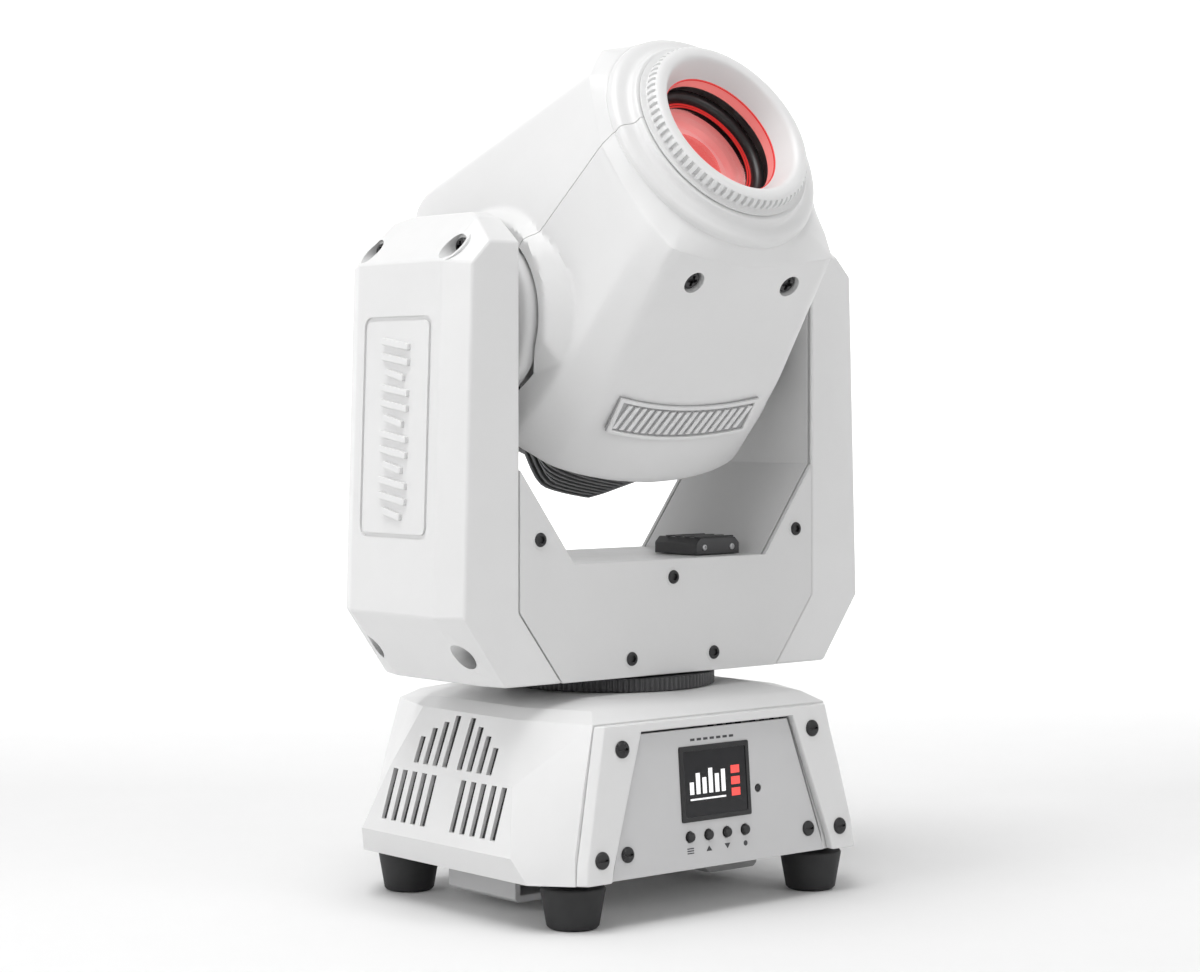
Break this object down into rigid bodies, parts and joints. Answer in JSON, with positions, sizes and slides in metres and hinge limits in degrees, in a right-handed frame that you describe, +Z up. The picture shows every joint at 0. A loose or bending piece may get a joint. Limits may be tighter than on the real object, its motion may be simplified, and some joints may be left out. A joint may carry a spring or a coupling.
{
  "type": "moving head light",
  "caption": "Compact stage light: a finned head with a toothed focus ring tilts in a two-armed yoke, which pans on a base with display, menu buttons, vents and rear sockets.",
  "frame": {"origin": "centre of the footprint, on the surface the feet stand on, at the middle of the outline's depth", "axes": "+X from the left arm to the right arm seen from the front, -Y towards the side with the control panel, +Z up along the pan axis"},
  "size_m": [0.2322, 0.1721, 0.359],
  "materials": {
    "shell_white": "satin moulded",
    "plate_white": "powder coated sheet",
    "panel_grey": "satin paint",
    "bracket_grey": "matte",
    "trim_black": "satin",
    "display_black": "gloss",
    "foot_rubber": "matte",
    "belt_rubber": "matte",
    "plain_steel": "machined",
    "sink_dark": "anodised dark",
    "circuit_green": "lacquered board",
    "lens_glass": "polished",
    "filter_glass": "dichroic"
  },
  "bodies": {
    "base": {"base_housing": "shell_white", "floor_plate": "plate_white", "front_bezel": "shell_white", "rear_bezel": "shell_white", "control_panel": "panel_grey", "connector_panel": "panel_grey", "display": "display_black", "status_lamp": "display_black", "mains_inlet": "trim_black", "mains_outlet": "trim_black", "fuse_cap": "trim_black", "data_in": "plain_steel", "data_out": "plain_steel", "foot_front_left": "foot_rubber", "foot_front_right": "foot_rubber", "foot_rear_left": "foot_rubber", "foot_rear_right": "foot_rubber", "bracket_rail_left": "bracket_grey", "bracket_rail_right": "bracket_grey", "power_supply": "plain_steel", "main_board": "circuit_green", "pan_ring": "trim_black", "pan_bearing": "plain_steel"},
    "button_1": {"menu_button_1": "trim_black"},
    "button_2": {"menu_button_2": "trim_black"},
    "button_3": {"menu_button_3": "trim_black"},
    "button_4": {"menu_button_4": "trim_black"},
    "yoke": {"yoke_front_plate": "plate_white", "yoke_rear_plate": "plate_white", "yoke_floor": "plate_white", "yoke_saddle": "plate_white", "cable_guard": "trim_black", "arm_cover_left": "shell_white", "arm_cover_right": "shell_white", "pan_motor": "plain_steel", "tilt_motor": "plain_steel", "driver_board": "circuit_green", "tilt_bearing_left": "plain_steel", "tilt_bearing_right": "plain_steel", "tilt_belt": "belt_rubber"},
    "pan_gear": {"pan_pinion": "plain_steel"},
    "tilt_gear": {"tilt_motor_pulley": "plain_steel"},
    "head": {"head_shell_upper": "shell_white", "head_shell_lower": "shell_white", "heat_sink": "sink_dark", "fan_ring": "trim_black", "trunnion_left": "shell_white", "trunnion_right": "shell_white", "tilt_drum": "trim_black", "chassis_plate": "plain_steel", "led_module": "sink_dark", "condenser_lens": "lens_glass"},
    "fan": {"fan_rotor": "trim_black"},
    "colour_disc": {"colour_wheel": "filter_glass"},
    "gobo_disc": {"gobo_wheel": "plain_steel"},
    "focus": {"focus_ring": "shell_white"},
    "lens": {"lens_tube": "trim_black", "front_lens": "lens_glass", "lens_retainer": "trim_black"}
  },
  "joints": [
    {"name": "pan", "type": "hinge", "parent": "base", "child": "yoke", "pos_m": [0, 0.011, 0.0951], "axis": [0, 0, 1], "range_deg": [-270, 270]},
    {"name": "tilt", "type": "hinge", "parent": "yoke", "child": "head", "pos_m": [0, 0.011, 0.2435], "axis": [1, 0, 0], "range_deg": [-154, 76]},
    {"name": "pan_gear_spin", "type": "hinge", "parent": "yoke", "child": "pan_gear", "pos_m": [0.0507, 0.011, 0.0951], "axis": [0, 0, 1], "range_deg": [-1985, 1985]},
    {"name": "tilt_gear_spin", "type": "hinge", "parent": "yoke", "child": "tilt_gear", "pos_m": [0.101, 0.011, 0.166], "axis": [1, 0, 0], "range_deg": [-489, 242]},
    {"name": "focus_turn", "type": "hinge", "parent": "head", "child": "focus", "pos_m": [0, -0.06024, 0.31909], "axis": [0, -0.8572, 0.515], "range_deg": [-60, 60]},
    {"name": "lens_travel", "type": "slide", "parent": "head", "child": "lens", "axis": [0, -0.8572, 0.515], "range_m": [-0.00305, 0.00305]},
    {"name": "colour_spin", "type": "hinge", "parent": "head", "child": "colour_disc", "pos_m": [0, -0.02226, 0.26582], "axis": [0, -0.8572, 0.515], "continuous": true},
    {"name": "gobo_spin", "type": "hinge", "parent": "head", "child": "gobo_disc", "pos_m": [0, -0.0274, 0.26891], "axis": [0, -0.8572, 0.515], "continuous": true},
    {"name": "fan_spin", "type": "hinge", "parent": "head", "child": "fan", "pos_m": [0, 0.06963, 0.21294], "axis": [0, -0.8572, 0.515], "continuous": true},
    {"name": "button_1_press", "type": "slide", "parent": "base", "child": "button_1", "axis": [0, 1, 0], "range_m": [0, 0.001], "stiffness_N_per_m": 400, "springref_m": -0.0005},
    {"name": "button_2_press", "type": "slide", "parent": "base", "child": "button_2", "axis": [0, 1, 0], "range_m": [0, 0.001], "stiffness_N_per_m": 400, "springref_m": -0.0005},
    {"name": "button_3_press", "type": "slide", "parent": "base", "child": "button_3", "axis": [0, 1, 0], "range_m": [0, 0.001], "stiffness_N_per_m": 400, "springref_m": -0.0005},
    {"name": "button_4_press", "type": "slide", "parent": "base", "child": "button_4", "axis": [0, 1, 0], "range_m": [0, 0.001], "stiffness_N_per_m": 400, "springref_m": -0.0005}
  ],
  "couplings": [
    {"joint": "pan_gear_spin", "follows": "pan", "ratio": 7.3333},
    {"joint": "tilt_gear_spin", "follows": "tilt", "ratio": 3.1667},
    {"joint": "lens_travel", "follows": "focus_turn", "m_per_rad": 0.0028648}
  ]
}
